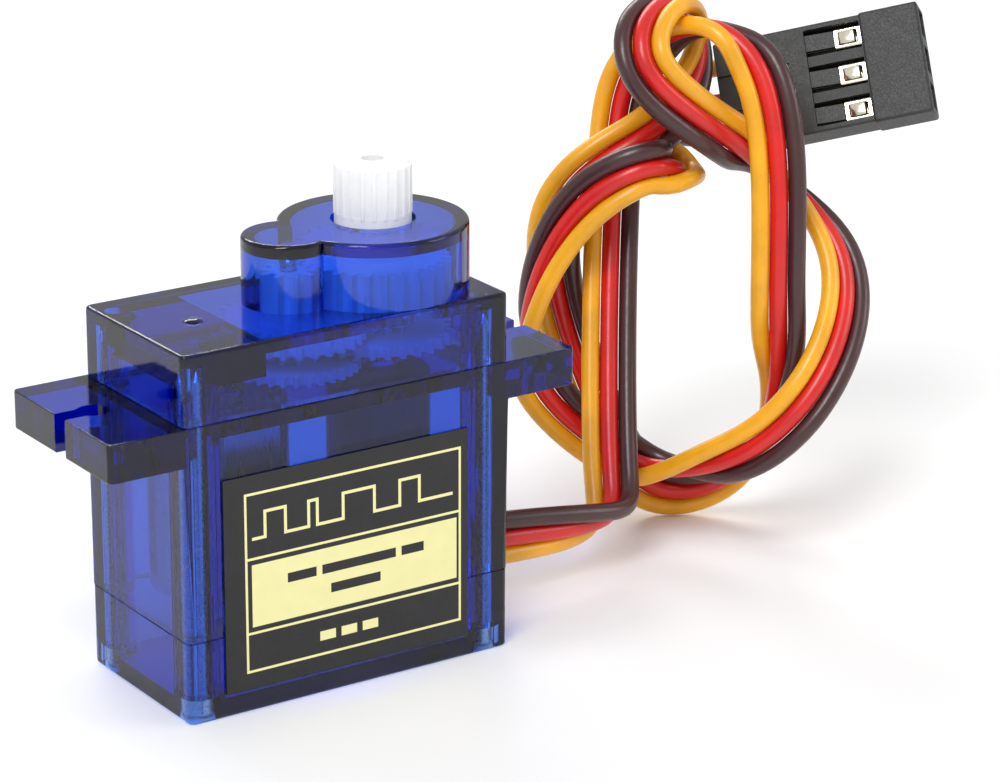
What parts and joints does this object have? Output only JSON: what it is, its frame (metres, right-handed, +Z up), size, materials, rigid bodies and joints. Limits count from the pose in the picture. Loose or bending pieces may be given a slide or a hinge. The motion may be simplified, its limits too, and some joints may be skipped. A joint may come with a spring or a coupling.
{
  "type": "hobby servo motor",
  "caption": "Small hobby servo: translucent blue case with mounting ears, geared motor inside driving a white splined output shaft, and a ribbon lead ending in a connector.",
  "frame": {"origin": "centre of the case's underside", "axes": "+Z up along the output shaft, +X towards the end of the case where the lead comes out, -Y the side that carries the label"},
  "size_m": [0.0671, 0.0198, 0.0361],
  "materials": {
    "case": "glossy translucent royal-blue moulded plastic",
    "label": "black film label with cream lines, no lettering",
    "steel": "zinc-plated steel",
    "white_plastic": "white moulded plastic",
    "magnet": "sintered ferrite",
    "brass": "plain brass",
    "nylon": "white nylon, slightly translucent",
    "pot_shell": "dark moulded plastic",
    "circuit_board": "green lacquered board",
    "chip_plastic": "black moulded package",
    "ceramic": "tan ceramic",
    "tinned_copper": "tinned copper wire",
    "grommet": "black rubber",
    "wire_yellow": "glossy yellow insulation",
    "wire_red": "glossy red insulation",
    "wire_brown": "glossy dark brown insulation",
    "connector_plastic": "dark grey moulded plastic, fine texture",
    "contact": "tinned spring contact"
  },
  "bodies": {
    "case": {"bottom_cover": "case", "middle_case": "case", "top_cover": "case", "label": "label", "case_screw_1": "steel", "case_screw_2": "steel", "case_screw_3": "steel", "case_screw_4": "steel", "motor_can": "steel", "motor_end_cap": "white_plastic", "motor_magnet_1": "magnet", "motor_magnet_2": "magnet", "motor_brush_1": "brass", "motor_brush_2": "brass", "motor_terminal_1": "brass", "motor_terminal_2": "brass", "gear_pin": "steel", "potentiometer_body": "pot_shell", "potentiometer_track": "circuit_board", "circuit_board": "circuit_board", "control_chip": "chip_plastic", "board_capacitor": "ceramic", "board_resistor": "chip_plastic", "board_transistor": "chip_plastic", "motor_lead_1": "wire_brown", "motor_lead_2": "wire_red", "pot_lead_1": "tinned_copper", "pot_lead_2": "tinned_copper", "pot_lead_3": "tinned_copper", "cable_grommet": "grommet", "wire_yellow": "wire_yellow", "wire_red": "wire_red", "wire_brown": "wire_brown", "connector_housing": "connector_plastic", "connector_contact_1": "contact", "connector_contact_2": "contact", "connector_contact_3": "contact"},
    "output": {"output_gear": "nylon", "potentiometer_wiper": "brass"},
    "gear_3": {"gear_3": "nylon"},
    "gear_2": {"gear_2": "nylon"},
    "gear_1": {"gear_1": "nylon"},
    "rotor": {"motor_armature": "steel", "motor_pinion": "brass"}
  },
  "joints": [
    {"name": "output_turn", "type": "hinge", "parent": "case", "child": "output", "pos_m": [0.0054, 0, 0.0225], "axis": [0, 0, 1], "range_deg": [-90, 90]},
    {"name": "gear_3_spin", "type": "hinge", "parent": "case", "child": "gear_3", "pos_m": [-0.0006, 0, 0.0225], "axis": [0, 0, 1], "range_deg": [-270, 270]},
    {"name": "gear_2_spin", "type": "hinge", "parent": "case", "child": "gear_2", "pos_m": [0.0054, 0, 0.0205], "axis": [0, 0, 1], "range_deg": [-630, 630]},
    {"name": "gear_1_spin", "type": "hinge", "parent": "case", "child": "gear_1", "pos_m": [-0.0006, 0, 0.0195], "axis": [0, 0, 1], "range_deg": [-1890, 1890]},
    {"name": "rotor_spin", "type": "hinge", "parent": "case", "child": "rotor", "pos_m": [-0.0055, 0, 0.0125], "axis": [0, 0, 1], "range_deg": [-7560, 7560]}
  ],
  "couplings": [
    {"joint": "gear_3_spin", "follows": "output_turn", "ratio": -3},
    {"joint": "gear_2_spin", "follows": "output_turn", "ratio": 7},
    {"joint": "gear_1_spin", "follows": "output_turn", "ratio": -21},
    {"joint": "rotor_spin", "follows": "output_turn", "ratio": 84}
  ]
}
